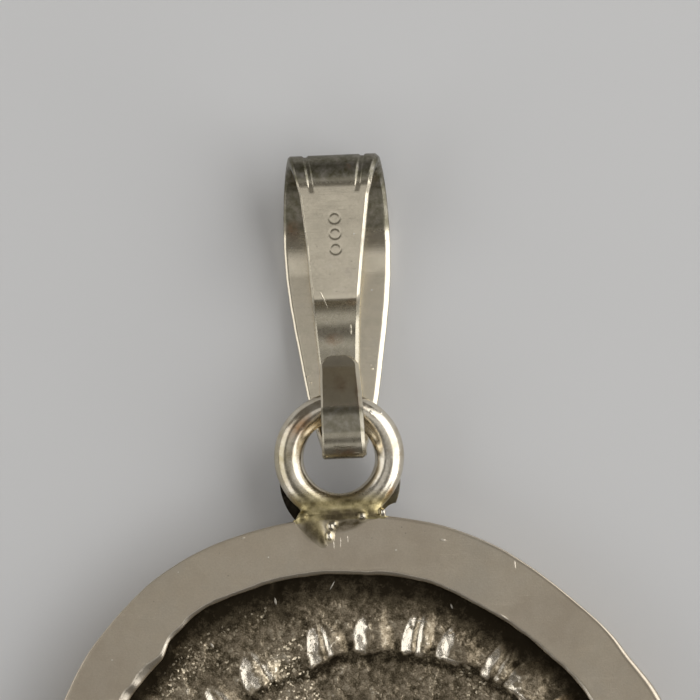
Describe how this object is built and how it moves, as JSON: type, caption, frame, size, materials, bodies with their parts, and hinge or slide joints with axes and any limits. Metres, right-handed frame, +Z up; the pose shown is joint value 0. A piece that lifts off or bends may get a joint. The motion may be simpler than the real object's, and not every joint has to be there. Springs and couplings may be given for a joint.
{
  "type": "coin pendant with folded bail",
  "caption": "Coin set in a flat ring frame, with a soldered wire ring and a folded strip bail to hang it from a chain.",
  "frame": {"origin": "on the surface it lies on, below the middle of its length and width", "axes": "+Y along the pendant from the coin to the bail, +Z up out of the back, +X to the right seen from the back"},
  "size_m": [0.0255, 0.0394, 0.0039],
  "materials": {
    "satin_silver": "satin silver, finely scratched, lightly tarnished",
    "dark_coin_silver": "dark patinated silver, grainy and worn",
    "polished_silver": "polished silver"
  },
  "bodies": {
    "root": {"bezel_frame": "satin_silver", "coin": "dark_coin_silver", "bail": "polished_silver"}
  },
  "joints": []
}
